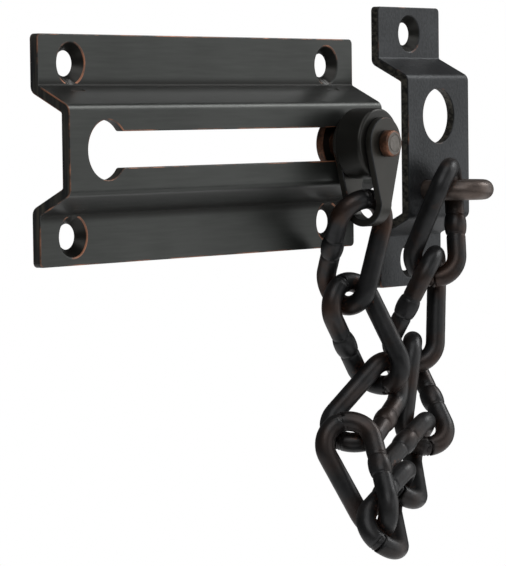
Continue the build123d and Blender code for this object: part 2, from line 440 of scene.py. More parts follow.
def round_edges(piece, width, skip=None):
    """Rounds the sharp edges; the new narrow faces take the rubbed finish."""
    build = bmesh.new()
    build.from_mesh(piece.data)
    bmesh.ops.remove_doubles(build, verts=build.verts, dist=MERGE_DISTANCE)
    bmesh.ops.dissolve_degenerate(build, dist=MERGE_DISTANCE, edges=build.edges)
    sharp = [e for e in build.edges if len(e.link_faces) == 2 and e.calc_face_angle(0) > ROUNDED_FROM]
    if skip:
        sharp = [e for e in sharp if not all(skip(v.co) for v in e.verts)]
    done = bmesh.ops.bevel(build, geom=sharp, offset=width, segments=3, profile=0.5, affect="EDGES",
                           offset_type="OFFSET", clamp_overlap=False, loop_slide=True)
    for face in build.faces:
        face.material_index = SURFACE
    for face in done["faces"]:
        face.material_index = RUBBED_EDGE
    shade(piece, build, CREASED_FROM)


def smooth(piece):
    """Shades a turned or drawn piece smooth."""
    build = bmesh.new()
    build.from_mesh(piece.data)
    shade(piece, build, TURNED_CREASE)


def put_on(piece, body, nodes, slot, *materials):
    """Gives the piece its materials, its body and the nodes it stands for; the slot is not used."""
    places = [face.material_index for face in piece.data.polygons]
    piece.data.materials.clear()
    for material in materials:
        piece.data.materials.append(material)
    piece.data.polygons.foreach_set("material_index", places)
    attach(piece, body)
    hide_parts(*nodes)


def folded_plate(name, plates, width, height, face, x, up):
    """A plate folded from one sheet: flanges, sloping webs and a raised face, with rounded corners."""
    front = plates.rise + plates.sheet
    shift = plates.sheet * tan(atan2(plates.rise, plates.web_run) / 2)
    inner = face / 2 - shift
    outer = inner + plates.web_run
    fronts = [(height / 2, plates.sheet, 0), (outer + shift, plates.sheet, plates.fold_inside),
              (inner + shift, front, plates.fold_outside)]
    backs = [(height / 2, 0, 0), (outer, 0, plates.fold_outside), (inner, plates.rise, plates.fold_inside)]
    lower = [(-u, v, radius) for u, v, radius in fronts[::-1] + backs]
    section = [(u + up, v) for u, v in rounded_outline(fronts + lower + backs[::-1])]
    plate = prism(name, section, x - width / 2, x + width / 2, along_x)
    corners = [(x + right * width / 2, up + above * height / 2, plates.corner)
               for right, above in ((1, 1), (-1, 1), (-1, -1), (1, -1))]
    blank = rounded_outline(corners, steps=6)
    combine(plate, prism("blank", blank, -front, 2 * front, outwards), "INTERSECT")
    return plate


def screw_seat(plates, x, up):
    """Tool for one countersunk screw hole."""
    hole = plates.screw_hole / 2
    seat = plates.countersink / 2
    slope = tan(plates.countersink_angle / 2)
    depth = (seat - hole) / slope
    above = plates.sheet
    profile = [(0, -above), (hole, -above), (hole, plates.sheet - depth),
               (seat + above * slope, plates.sheet + above), (0, plates.sheet + above)]
    return lathe("seat", profile, x, up, steps=56)


def face_cut(plates, outline):
    """Tool that cuts an outline through a raised face."""
    return prism("cut", outline, plates.rise - plates.sheet, plates.rise + 2 * plates.sheet, outwards)


def keyhole_slot(plates, plate_length):
    """Outline of the round entry hole and the slot that runs from it, with eased lips."""
    x = -plate_length / 2 + plates.keyhole_end
    big, small, lip = plates.keyhole / 2, plates.slot / 2, plates.keyhole_lip
    tip = plate_length / 2 - plates.slot_end - small
    lip_y = small + lip
    lip_x = sqrt((big + lip) ** 2 - lip_y ** 2)
    meet = atan2(lip_y, lip_x)
    outline = circle(big, x, steps=72, start=meet, sweep=2 * pi - 2 * meet)
    outline.append(Vector((x + big * cos(meet), -big * sin(meet))))
    outline += circle(lip, x + lip_x, -lip_y, steps=8, start=pi - meet, sweep=meet - pi / 2)[1:]
    outline.append(Vector((x + lip_x, -small)))
    outline += circle(small, tip, steps=40, start=-pi / 2, sweep=pi)
    outline.append(Vector((tip, small)))
    outline += circle(lip, x + lip_x, lip_y, steps=8, start=-pi / 2, sweep=meet - pi / 2)
    return outline


def from_seat(point, seats):
    """How far a point lies from the axis of the nearest screw seat."""
    return min(hypot(point.x - x, point.z - up) for x, up in seats)


def left_sharp(plates, seats):
    """Tells where edges stay sharp: deep in the screw seats, and where a rim meets the hollow fold."""
    hole_margin, rim_margin = 0.2 * MM, 0.4 * MM
    deep = plates.screw_hole / 2 + hole_margin
    rim = plates.countersink / 2 + rim_margin
    fold = plates.slide_face / 2 + plates.web_run + plates.fold_inside

    def test(point):
        away = from_seat(point, seats)
        return away < deep or (away < rim and abs(point.z) < fold)

    return test


def staple_feet(fittings):
    """Where the staple's left and right leg enter the keeper, across and up the wall."""
    x, up = node_size("keeper_plate")[2:]
    half = fittings.staple_spread / 2
    return [(x - half, up - fittings.staple_drop), (x + half, up - fittings.staple_drop)]


def staple_bend(plates, fittings):
    """How far from the wall the staple's legs go over into its round bend."""
    face = plates.rise + plates.sheet
    return face + fittings.staple_out - (fittings.staple_wire + fittings.staple_spread) / 2


def stirrup_levels(plates, fittings):
    """The stirrup's levels, built up from the slide's face."""
    rear = plates.rise + plates.sheet + fittings.face_play
    spacer_back = rear + fittings.strap + fittings.side_play
    face = spacer_back + fittings.spacer_thick + fittings.side_play + fittings.strap
    return Levels(rear, spacer_back, face, (rear + face) / 2, (face - rear) / 2 - fittings.strap_reach)


def hang(lean, swing, turn, twist):
    """Directions of a link that hangs at these angles."""
    lean, swing, turn = radians(lean), radians(swing), radians(turn)
    down = Vector((sin(lean), -cos(lean) * cos(swing), cos(lean) * sin(swing)))
    level = (Vector((1, 0, 0)) - down * down.x).normalized()
    across = down.cross(level)
    upper = level * cos(turn) + across * sin(turn)
    lower = level * cos(turn + twist) + across * sin(turn + twist)
    return Hang(down, upper, lower)


def step_across(bow, next_bow, down):
    """Unit vector from one wire to the next that crosses it, against the chain's run."""
    normal = bow.cross(next_bow).normalized()
    return -normal if normal.dot(down) > 0 else normal


def strand(start, hangs, reach, span):
    """Upper and lower wire centres of each link, hung in turn from the first upper centre."""
    ends = []
    for place, link in enumerate(hangs):
        top = start
        if place:
            last = hangs[place - 1]
            top = ends[-1][1] + step_across(last.lower, link.upper, last.down + link.down) * reach
        ends.append((top, top + link.down * span))
    return ends


def swung(ends, hangs, place, goal):
    """Frames of a strand's links, once it has swung about its first wire to bring place to goal."""
    hook = ends[0][0]
    turn = (place - hook).rotation_difference(goal - hook).to_matrix()
    frames = []
    for (top, bottom), link in zip(ends, hangs):
        along = turn @ -link.down
        side = turn @ link.upper
        axes = Matrix((side, along.cross(side), along)).transposed()
        frames.append((hook + turn @ ((top + bottom) * 0.5 - hook), axes))
    return frames


def hanging_chain(plates, fittings, chain):
    """Frames of all links from the stirrup to the staple: both strands meet at the lowest pair."""
    reach, span = chain.wire + chain.gap, chain.inner_length + chain.wire
    left = [hang(*angles, chain.twist) for angles in SLIDE_STRAND]
    right = [hang(*angles, chain.twist) for angles in KEEPER_STRAND]
    hook_x = node_size("slide_stud")[2] - chain.hook_shift
    hook_up = fittings.strap - fittings.strap_reach + chain.hook_gap + chain.wire / 2
    hook = Vector((hook_x, hook_up, stirrup_levels(plates, fittings).middle))
    leg = Vector((*staple_feet(fittings)[0], staple_bend(plates, fittings)))
    on_staple = (chain.wire + fittings.staple_wire) / 2 + chain.gap
    seat = leg + step_across(Vector((0, 0, 1)), right[0].upper, right[0].down) * on_staple
    left_ends = strand(hook, left, reach, span)
    right_ends = strand(seat, right, reach, span)
    left_low = left_ends[-1][1]
    right_low = right_ends[-1][1] - right[-1].down * chain.loop_drop
    left_run, right_run = (left_low - hook).length, (right_low - seat).length
    base = seat - hook
    level = base.normalized()
    along = (left_run ** 2 - right_run ** 2 + base.length_squared) / (2 * base.length)
    sag = (left_low + right_low) * 0.5 - hook
    sag = (sag - level * sag.dot(level)).normalized()
    lowest = hook + level * along + sag * sqrt(left_run ** 2 - along ** 2)
    return swung(left_ends, left, left_low, lowest) + swung(right_ends, right, right_low, lowest)[::-1]


def link_path(chain):
    """Centre line of one upright link, round from the first bend, with the swelling at each point."""
    half = (chain.inner_length + chain.wire) / 2
    side = (chain.inner_width + chain.wire) / 2
    lower = Vector((cos(chain.twist), -sin(chain.twist), 0)) * side
    upper = Vector((side, 0, 0))
    high, low = Vector((0, 0, half)), Vector((0, 0, -half))
    corners = [high + upper, high - upper, low - lower, low + lower]
    bends = []
    for i, corner in enumerate(corners):
        before = (corners[i - 1] - corner).normalized()
        after = (corners[(i + 1) % 4] - corner).normalized()
        arc = fillet(before, after, chain.bow_radius, steps=16)
        bends.append([corner + offset for offset in arc])
    points = []
    for i, bend in enumerate(bends):
        start, end = bend[-1], bends[(i + 1) % 4][0]
        count = max(2, int((end - start).length / PATH_STEP))
        points += bend
        points += [start.lerp(end, k / count) for k in range(1, count)]
    weld = (corners[0] + corners[3]) / 2
    swells = []
    for point in points:
        away = (point - weld).length / (chain.weld_length / 2)
        barrel = max(0, 1 - away ** 2) * chain.weld_swell
        ring = chain.weld_ring * max(0, 1 - abs(away - 1) / WELD_RING_SHARE)
        swells.append(1 + (barrel - ring) / (chain.wire / 2))
    return points, swells


def staple_path(plates, fittings):
    """Centre line of the staple, from one riveted end round to the other."""
    left, right = (Vector((*foot, 0)) for foot in staple_feet(fittings))
    middle, half = (left + right) / 2, (right - left) / 2
    out = Vector((0, 0, 1))
    root = plates.rise - fittings.staple_head_thick / 2
    bend = staple_bend(plates, fittings)
    leg = [root + (bend - root) * step / LEG_STEPS for step in range(LEG_STEPS)]
    turns = [pi * step / BEND_STEPS for step in range(BEND_STEPS)]
    points = [left + out * depth for depth in leg]
    points += [middle - half * cos(turn) + out * (bend + half.length * sin(turn)) for turn in turns]
    points += [right + out * depth for depth in (bend, *leg[::-1])]
    return points


def path_mesh(name, points, swells, closed):
    """A run of edges along a path, with the wire's swelling at each point."""
    mesh = bpy.data.meshes.new(name)
    edges = [(i, i + 1) for i in range(len(points) - 1)]
    if closed:
        edges.append((len(points) - 1, 0))
    mesh.from_pydata([world(p) for p in points], edges, [])
    mesh.attributes.new("swell", "FLOAT", "POINT").data.foreach_set("value", swells)
    return mesh


def connect(tree, node, inputs):
    """Sets or links a node's inputs by name or number; a mix has values at 2 and 3, colours at 6 and 7."""
    for key, value in inputs.items():
        if isinstance(value, bpy.types.NodeSocket):
            tree.links.new(value, node.inputs[key])
        else:
            node.inputs[key].default_value = value


def add(tree, kind, inputs=None, **settings):
    """Adds a node with its settings and inputs."""
    made = tree.nodes.new(kind)
    for key, value in settings.items():
        setattr(made, key, value)
    connect(tree, made, inputs or {})
    return made


def wire_tree():
    """Node tree that turns a path into round wire, thicker where the path says it swells."""
    tree = bpy.data.node_groups.new("Round wire", "GeometryNodeTree")
    sockets = {"Path": "Geometry", "Wire radius": "Float", "Sides": "Int", "Finish": "Material"}
    for name, kind in sockets.items():
        tree.interface.new_socket(name=name, in_out="INPUT", socket_type=f"NodeSocket{kind}")
    tree.interface.new_socket(name="Wire", in_out="OUTPUT", socket_type="NodeSocketGeometry")
    given = add(tree, "NodeGroupInput").outputs
    swell = add(tree, "GeometryNodeInputNamedAttribute", {"Name": "swell"}, data_type="FLOAT")
    path = add(tree, "GeometryNodeMeshToCurve", {"Mesh": given["Path"]})
    ring = add(tree, "GeometryNodeCurvePrimitiveCircle",
               {"Radius": given["Wire radius"], "Resolution": given["Sides"]})
    swept = add(tree, "GeometryNodeCurveToMesh",
                {"Curve": path.outputs[0], "Profile Curve": ring.outputs[0],
                 "Scale": swell.outputs[0], "Fill Caps": True})
    shaded = add(tree, "GeometryNodeSetShadeSmooth", {"Geometry": swept.outputs[0]})
    real = add(tree, "GeometryNodeRealizeInstances", {"Geometry": shaded.outputs[0]})
    dressed = add(tree, "GeometryNodeSetMaterial",
                  {"Geometry": real.outputs[0], "Material": given["Finish"]})
    add(tree, "NodeGroupOutput", {"Wire": dressed.outputs[0]})
    return tree


def wire_piece(name, points, swells, closed, radius, sides, material):
    """A piece of round wire along a path."""
    tree = bpy.data.node_groups.get("Round wire") or wire_tree()
    piece = new_object(name, path_mesh(name, points, swells, closed))
    change = piece.modifiers.new("wire", "NODES")
    change.node_group = tree
    values = {"Wire radius": radius, "Sides": sides, "Finish": material}
    for item in tree.interface.items_tree:
        if item.in_out == "INPUT" and item.name in values:
            change[item.identifier] = values[item.name]
    settle(piece)
    if not piece.data.polygons:
        raise RuntimeError(f"{name} has no wire")
    return piece


def mark_wear(piece, others, radius, reach):
    """Stores how much each point is rubbed by the wires that touch the piece."""
    tree = KDTree(len(others))
    for i, point in enumerate(others):
        tree.insert(world(point), i)
    tree.balance()
    wear = []
    for vert in piece.data.vertices:
        gap = tree.find(vert.co)[2] - radius
        wear.append(max(0, min(1, 1 - gap / reach)))
    piece.data.attributes.new("wear", "FLOAT", "POINT").data.foreach_set("value", wear)


def new_material(name):
    """Makes a node material and returns its tree, its shader and the object coordinates."""
    material = bpy.data.materials.new(name)
    material.use_nodes = True
    tree = material.node_tree
    shader = tree.nodes["Principled BSDF"]
    place = add(tree, "ShaderNodeTexCoord").outputs["Object"]
    return tree, shader, place


def per_mm(millimetres):
    """Noise scale at which one feature is about this large."""
    return 1 / (millimetres * MM)


def oil_rubbed_sheet(finish, plates):
    """Oil-rubbed bronze on rolled sheet."""
    # Smooth and satin: soft wide highlights, faint streaks along the sheet, painted shade that darkens the
    # hollow folds.
    tree, shader, place = new_material("oil_rubbed_bronze_sheet")
    cloud = add(tree, "ShaderNodeTexNoise",
                {"Vector": place, "Scale": per_mm(26), "Detail": 3, "Roughness": 0.55})
    streak = Vector((per_mm(9), per_mm(0.6), per_mm(0.6)))
    along = add(tree, "ShaderNodeVectorMath", {0: place, 1: streak}, operation="MULTIPLY")
    grain = add(tree, "ShaderNodeTexNoise", {"Vector": along.outputs[0], "Scale": 1, "Detail": 3})
    mottle = add(tree, "ShaderNodeMix", {"Factor": 0.4, 2: cloud.outputs["Fac"], 3: grain.outputs["Fac"]})
    show = add(tree, "ShaderNodeMapRange", {"Value": mottle.outputs[0], "From Min": 0.36, "From Max": 0.64})
    tone = add(tree, "ShaderNodeMix",
               {"Factor": show.outputs["Result"], 6: finish.sheet_dark, 7: finish.sheet_light},
               data_type="RGBA")
    height = add(tree, "ShaderNodeSeparateXYZ", {"Vector": place}).outputs["Z"]
    level = add(tree, "ShaderNodeMath", {0: height}, operation="ABSOLUTE").outputs[0]
    hollow = plates.slide_face / 2 + plates.web_run
    beside = add(tree, "ShaderNodeMath", {0: level, 1: hollow}, operation="SUBTRACT").outputs[0]
    away = add(tree, "ShaderNodeMath", {0: beside}, operation="ABSOLUTE").outputs[0]
    # The sheet darkens towards the hollow folds as painted shade, and grows rougher there.
    painted_fold_shade = add(tree, "ShaderNodeMapRange",
                {"Value": away, "From Min": 0.3 * MM, "From Max": 1.8 * MM, "To Min": 0.8, "To Max": 0.0},
                interpolation_type="SMOOTHSTEP")
    shaded_tone = add(tree, "ShaderNodeMix",
                 {"Factor": painted_fold_shade.outputs["Result"], 6: tone.outputs[2], 7: finish.spacer_dark},
                 data_type="RGBA")
    rough = add(tree, "ShaderNodeMapRange", {"Value": painted_fold_shade.outputs["Result"], "To Min": 0.35, "To Max": 0.6})
    bump = add(tree, "ShaderNodeBump",
               {"Height": grain.outputs["Fac"], "Strength": 0.05, "Distance": 0.05 * MM})
    connect(tree, shader, {"Base Color": shaded_tone.outputs[2], "Metallic": 0.75,
                           "Roughness": rough.outputs["Result"], "Normal": bump.outputs["Normal"]})


def textured_keeper(finish):
    """Oil-rubbed bronze on a sheet with a fine cast-like skin."""
    # Matte and a little bluer than the slide, with a fine orange-peel that breaks the highlights.
    tree, shader, place = new_material("oil_rubbed_bronze_textured")
    skin = add(tree, "ShaderNodeTexNoise", {"Vector": place, "Scale": per_mm(0.7), "Detail": 3})
    cloud = add(tree, "ShaderNodeTexNoise", {"Vector": place, "Scale": per_mm(14), "Detail": 4})
    mottle = add(tree, "ShaderNodeMix", {"Factor": 0.45, 2: cloud.outputs["Fac"], 3: skin.outputs["Fac"]})
    show = add(tree, "ShaderNodeMapRange", {"Value": mottle.outputs[0], "From Min": 0.38, "From Max": 0.64})
    tone = add(tree, "ShaderNodeMix",
               {"Factor": show.outputs["Result"], 6: finish.keeper_dark, 7: finish.keeper_light},
               data_type="RGBA")
    bump = add(tree, "ShaderNodeBump",
               {"Height": skin.outputs["Fac"], "Strength": 0.5, "Distance": 0.15 * MM})
    connect(tree, shader, {"Base Color": tone.outputs[2], "Metallic": 0.7, "Roughness": 0.45,
                           "Normal": bump.outputs["Normal"]})


def rubbed_edge(name, finish, base, share):
    """Sheared edges where the finish is rubbed through to copper in broken lines."""
    # Thin reddish lines along every edge, brighter where hands and screws rub.
    tree, shader, place = new_material(name)
    patch = add(tree, "ShaderNodeTexNoise",
                {"Vector": place, "Scale": per_mm(7), "Detail": 4, "Roughness": 0.6})
    show = add(tree, "ShaderNodeMapRange",
               {"Value": patch.outputs["Fac"], "From Min": 0.66 - share, "From Max": 0.82 - share})
    tone = add(tree, "ShaderNodeMix", {"Factor": show.outputs["Result"], 6: base, 7: finish.copper},
               data_type="RGBA")
    connect(tree, shader, {"Base Color": tone.outputs[2], "Metallic": 0.5, "Roughness": 0.4})


def sheared_sheet(name, dark, light, run, grain, depth):
    """Sheared ends and hole walls of the plates, with specks of this run and grain in millimetres."""
    # Dull brownish grey: shear lines along the slide's clean cuts, coarse light specks on the keeper's.
    tree, shader, place = new_material(name)
    across = Vector((per_mm(run), per_mm(grain), per_mm(run)))
    stretched = add(tree, "ShaderNodeVectorMath", {0: place, 1: across}, operation="MULTIPLY")
    streaks = add(tree, "ShaderNodeTexNoise", {"Vector": stretched.outputs[0], "Scale": 1, "Detail": 4})
    show = add(tree, "ShaderNodeMapRange",
               {"Value": streaks.outputs["Fac"], "From Min": 0.38, "From Max": 0.66})
    tone = add(tree, "ShaderNodeMix", {"Factor": show.outputs["Result"], 6: dark, 7: light},
               data_type="RGBA")
    bump = add(tree, "ShaderNodeBump",
               {"Height": streaks.outputs["Fac"], "Strength": 0.6, "Distance": depth})
    connect(tree, shader, {"Base Color": tone.outputs[2], "Metallic": 0.5, "Roughness": 0.5,
                           "Normal": bump.outputs["Normal"]})


def blackened_wire(name, finish, dark, light, brown_share):
    """Blackened bronze finish on welded wire, rubbed brown where links touch."""
    # Semi-gloss and nearly black, with soft brown patches along the legs and copper only at the contacts.
    tree, shader, place = new_material(name)
    wear = add(tree, "ShaderNodeAttribute", attribute_name="wear").outputs["Fac"]
    cloud = add(tree, "ShaderNodeTexNoise",
                {"Vector": place, "Scale": per_mm(6), "Detail": 4, "Roughness": 0.6})
    pits = add(tree, "ShaderNodeTexNoise", {"Vector": place, "Scale": per_mm(0.6), "Detail": 3})
    show = add(tree, "ShaderNodeMapRange",
               {"Value": cloud.outputs["Fac"], "From Min": 0.36, "From Max": 0.66})
    tone = add(tree, "ShaderNodeMix", {"Factor": show.outputs["Result"], 6: dark, 7: light},
               data_type="RGBA")
    patch = add(tree, "ShaderNodeTexNoise",
                {"Vector": place, "Scale": per_mm(11), "Detail": 4, "Roughness": 0.6})
    thin = add(tree, "ShaderNodeMapRange",
               {"Value": patch.outputs["Fac"], "From Min": 0.47, "From Max": 0.68, "To Max": brown_share})
    # The upper links are handled more, and so are browner than the lowest ones.
    height = add(tree, "ShaderNodeSeparateXYZ", {"Vector": place}).outputs["Z"]
    handled = add(tree, "ShaderNodeMapRange",
                  {"Value": height, "From Min": -70 * MM, "From Max": -20 * MM, "To Min": 0.35})
    thinner = add(tree, "ShaderNodeMath", {0: thin.outputs["Result"], 1: handled.outputs["Result"]},
                  operation="MULTIPLY")
    browned = add(tree, "ShaderNodeMix",
                  {"Factor": thinner.outputs[0], 6: tone.outputs[2], 7: finish.brown}, data_type="RGBA")
    ragged = add(tree, "ShaderNodeMath", {0: wear, 1: pits.outputs["Fac"]}, operation="MULTIPLY")
    bare = add(tree, "ShaderNodeMapRange",
               {"Value": ragged.outputs[0], "From Min": 0.36, "From Max": 0.7, "To Max": 0.5})
    rubbed = add(tree, "ShaderNodeMix",
                 {"Factor": bare.outputs["Result"], 6: browned.outputs[2], 7: finish.copper},
                 data_type="RGBA")
    bump = add(tree, "ShaderNodeBump",
               {"Height": pits.outputs["Fac"], "Strength": 0.25, "Distance": 0.1 * MM})
    connect(tree, shader, {"Base Color": rubbed.outputs[2], "Metallic": 0.6, "Roughness": 0.4,
                           "Normal": bump.outputs["Normal"]})


def satin_fitting(name, dark, light):
    """Oil-rubbed bronze on the turned spacer and the stirrup's strap; the spacer's finish is also painted
    shade in the screw seats and on the button.
    """
    # Smooth and satin with hardly any pattern, so that the round forms read by their highlights.
    tree, shader, place = new_material(name)
    cloud = add(tree, "ShaderNodeTexNoise", {"Vector": place, "Scale": per_mm(5), "Detail": 3})
    tone = add(tree, "ShaderNodeMix", {"Factor": cloud.outputs["Fac"], 6: dark, 7: light}, data_type="RGBA")
    connect(tree, shader, {"Base Color": tone.outputs[2], "Metallic": 0.6, "Roughness": 0.38})


def rubbed_stud(finish):
    """Copper-coloured rivet with traces of the dark finish."""
    # Muted copper on the head's rim and the button, broken by dark patches.
    tree, shader, place = new_material("rubbed_copper_rivet")
    cloud = add(tree, "ShaderNodeTexNoise",
                {"Vector": place, "Scale": per_mm(2.2), "Detail": 5, "Roughness": 0.65})
    show = add(tree, "ShaderNodeMapRange",
               {"Value": cloud.outputs["Fac"], "From Min": 0.42, "From Max": 0.74})
    tone = add(tree, "ShaderNodeMix",
               {"Factor": show.outputs["Result"], 6: finish.brown, 7: finish.copper}, data_type="RGBA")
    connect(tree, shader, {"Base Color": tone.outputs[2], "Metallic": 0.6, "Roughness": 0.42})


def bare_end(finish):
    """Bare grey metal on the rivet's hammered end."""
    # Dull grey with fine pits, the only bright bare metal on the fittings.
    tree, shader, place = new_material("bare_rivet_end")
    pits = add(tree, "ShaderNodeTexNoise", {"Vector": place, "Scale": per_mm(0.8), "Detail": 4})
    tone = add(tree, "ShaderNodeMix",
               {"Factor": pits.outputs["Fac"], 6: finish.staple_dark, 7: finish.steel}, data_type="RGBA")
    bump = add(tree, "ShaderNodeBump",
               {"Height": pits.outputs["Fac"], "Strength": 0.3, "Distance": 0.1 * MM})
    connect(tree, shader, {"Base Color": tone.outputs[2], "Metallic": 0.5, "Roughness": 0.45,
                           "Normal": bump.outputs["Normal"]})


def finishes(settings):
    """All finishes by name, made once."""
    if "oil_rubbed_bronze_sheet" not in bpy.data.materials:
        finish = settings.finish
        oil_rubbed_sheet(finish, settings.plates)
        textured_keeper(finish)
        sheared_sheet("sheared_sheet_end", finish.keeper_dark, finish.sheared,
                      run=12, grain=0.8, depth=0.08 * MM)
        sheared_sheet("ragged_sheet_end", finish.spacer_dark, finish.sheared,
                      run=0.7, grain=0.9, depth=0.3 * MM)
        rubbed_edge("rubbed_sheet_edge", finish, finish.sheet_dark, share=0.2)
        rubbed_edge("rubbed_dark_edge", finish, finish.keeper_dark, share=0.08)
        blackened_wire("blackened_bronze_wire", finish, finish.wire_dark, finish.wire_light, brown_share=0.85)
        blackened_wire("worn_bronze_wire", finish, finish.staple_dark, finish.staple_light, brown_share=0.4)
        satin_fitting("oil_rubbed_bronze_strap", finish.strap_dark, finish.strap_light)
        satin_fitting("oil_rubbed_bronze_spacer", finish.spacer_dark, finish.spacer_light)
        rubbed_stud(finish)
        bare_end(finish)
    return bpy.data.materials


class DOORCHAIN_OT_plates(bpy.types.Operator):
    """Builds the slide plate and the keeper plate"""

    bl_idname = "door_chain.plates"
    bl_label = "Folded plates"

    def execute(self, context):
        settings = context.scene.door_chain
        plates, fittings = settings.plates, settings.fittings
        stock = finishes(settings)
        wide, high, x, up = node_size("slide_plate")
        slide = folded_plate("slide_sheet", plates, wide, high, plates.slide_face, x, up)
        combine(slide, face_cut(plates, keyhole_slot(plates, wide)), "DIFFERENCE")
        across, rise = wide / 2 - plates.slide_hole_end, high / 2 - plates.slide_hole_edge
        self.drill(slide, plates, [(sx * across, sy * rise) for sx in (-1, 1) for sy in (-1, 1)])
        put_on(slide, "plates", ["slide_plate"], "slide_bronze", stock["oil_rubbed_bronze_sheet"],
               stock["rubbed_sheet_edge"], stock["sheared_sheet_end"], stock["oil_rubbed_bronze_spacer"])
        wide, high, x, up = node_size("keeper_plate")
        keeper = folded_plate("keeper_sheet", plates, wide, high, plates.keeper_face, x, up)
        park = circle(plates.park_hole / 2, x, up + plates.park_rise)
        feet = [circle(fittings.staple_wire / 2, *foot) for foot in staple_feet(fittings)]
        for outline in (park, *feet):
            combine(keeper, face_cut(plates, outline), "DIFFERENCE")
        rise = high / 2 - plates.keeper_hole_edge
        self.drill(keeper, plates, [(x, up - rise), (x, up + rise)])
        put_on(keeper, "plates", ["keeper_plate"], "keeper_bronze", stock["oil_rubbed_bronze_textured"],
               stock["rubbed_dark_edge"], stock["ragged_sheet_end"], stock["oil_rubbed_bronze_spacer"])
        return {"FINISHED"}

    def drill(self, plate, plates, seats):
        """Cuts the screw seats, rounds the plate's edges and sorts its faces by finish, with painted shade in
        the seats.
        """
        for place in seats:
            combine(plate, screw_seat(plates, *place), "DIFFERENCE")
        round_edges(plate, plates.edge, left_sharp(plates, seats))
        for face in plate.data.polygons:
            if face.material_index != SURFACE:
                continue
            flat = abs(face.normal.y)
            # Faces in the screw seats take the spacer's dark finish as painted shade.
            if from_seat(face.center, seats) < plates.countersink / 2 and flat < FLAT_SHEET:
                face.material_index = SHADED_SEAT
            elif flat < CUT_WALL:
                face.material_index = SHEARED_END


class DOORCHAIN_OT_fittings(bpy.types.Operator):
    """Builds the sliding stud, its spacer and the stirrup"""

    bl_idname = "door_chain.fittings"
    bl_label = "Stud, spacer and stirrup"

    def execute(self, context):
        settings = context.scene.door_chain
        fittings = settings.fittings
        stock = finishes(settings)
        levels = stirrup_levels(settings.plates, fittings)
        x = node_size("slide_stud")[2]
        bore = fittings.pin / 2 + fittings.pin_play
        stud = self.stud(settings.plates, fittings, levels, x)
        put_on(stud, "slider", ["slide_stud"], "stud_copper", stock["rubbed_copper_rivet"],
               stock["bare_rivet_end"], stock["oil_rubbed_bronze_spacer"])
        spacer = self.spacer(fittings, levels, x, bore)
        put_on(spacer, "slider", ["spacer"], "fitting_bronze", stock["oil_rubbed_bronze_spacer"])
        strap = self.strap(fittings, levels, x)
        combine(strap, prism("pin", circle(bore, x), 0, 2 * levels.face, outwards), "DIFFERENCE")
        round_edges(strap, fittings.strap_edge)
        put_on(strap, "stirrup", ["stirrup"], "fitting_bronze", stock["oil_rubbed_bronze_strap"],
               stock["rubbed_dark_edge"])
        return {"FINISHED"}

    def stud(self, plates, fittings, levels, x):
        """The rivet: a button behind the face, a neck in the slot, the stirrup's pin and its spread head."""
        button, neck = fittings.button / 2, fittings.neck / 2
        pin, rim = fittings.pin / 2, fittings.pin_head / 2
        button_front = plates.rise - fittings.face_play
        button_back = button_front - fittings.button_thick
        shoulder = levels.rear - fittings.side_play
        head = levels.face + fittings.side_play
        tip = head + fittings.pin_head_out
        outline = [(0, button_back, 0), (button, button_back, 4 * FINE), (button, button_front, FINE),
                   (neck, button_front, 0), (neck, shoulder, FINE), (pin, shoulder, 0), (pin, head, 0),
                   (rim, head, FINE), (rim, tip, 3 * FINE)]
        outline += [(share * rim, tip - depth, 0) for share, depth in PRESSED_RING]
        outline.append((0, tip, 0))
        stud = turned("stud_rivet", outline, x, 0)
        smooth(stud)
        for face in stud.data.polygons:
            out = -face.center.y
            away = hypot(face.center.x - x, face.center.z)
            if out > tip - 2 * FINE and away < BARE_SHARE * rim:
                face.material_index = BARE_END
            # The button's faces under the raised face take the spacer's dark finish as painted shade.
            elif out < button_front + FINE and away < BUTTON_SHARE * button:
                face.material_index = SHADED_BUTTON
            else:
                face.material_index = COPPER
        return stud

    def spacer(self, fittings, levels, x, bore):
        """The thick disc between the stirrup's arms."""
        back, front = levels.spacer_back, levels.spacer_back + fittings.spacer_thick
        wide, edge = fittings.spacer / 2, fittings.spacer_edge
        ring = [(bore, back, FINE), (wide, back, edge), (wide, front, edge), (bore, front, FINE)]
        spacer = turned("spacer_disc", ring, x, 0, corner_steps=6, steps=96)
        smooth(spacer)
        return spacer

    def strap(self, fittings, levels, x):
        """The folded strap: a U seen from the side, cut to the lobes' and the bend's outline."""
        rear, face, middle, bend_up = levels.rear, levels.face, levels.middle, levels.bend_up
        radius = (face - rear) / 2
        inner = radius - fittings.strap
        top, lobe = fittings.lobe, fittings.lobe / 2
        outside = circle(radius, steps=BEND_STEPS, sweep=-pi)
        inside = circle(inner, steps=BEND_STEPS, start=pi, sweep=pi)
        side = [(top, face)] + [(bend_up + p.y, middle + p.x) for p in outside]
        side += [(bend_up, rear), (top, rear), (top, rear + fittings.strap)]
        side += [(bend_up + p.y, middle + p.x) for p in inside]
        side += [(bend_up, middle + inner), (top, middle + inner)]
        strap = prism("stirrup_strap", side, x - fittings.lobe, x + fittings.lobe, along_x)
        half = fittings.strap_bend_width / 2
        below = -2 * fittings.strap_reach
        touch = atan2(bend_up, half) + acos(lobe / hypot(half, bend_up))
        outline = circle(lobe, x, steps=56, start=touch, sweep=pi - 2 * touch)
        outline.append((x - lobe * cos(touch), lobe * sin(touch)))
        outline += [(x - half, bend_up), (x - half, below), (x + half, below), (x + half, bend_up)]
        combine(strap, prism("blank", outline, 0, 2 * face, outwards), "INTERSECT")
        return strap


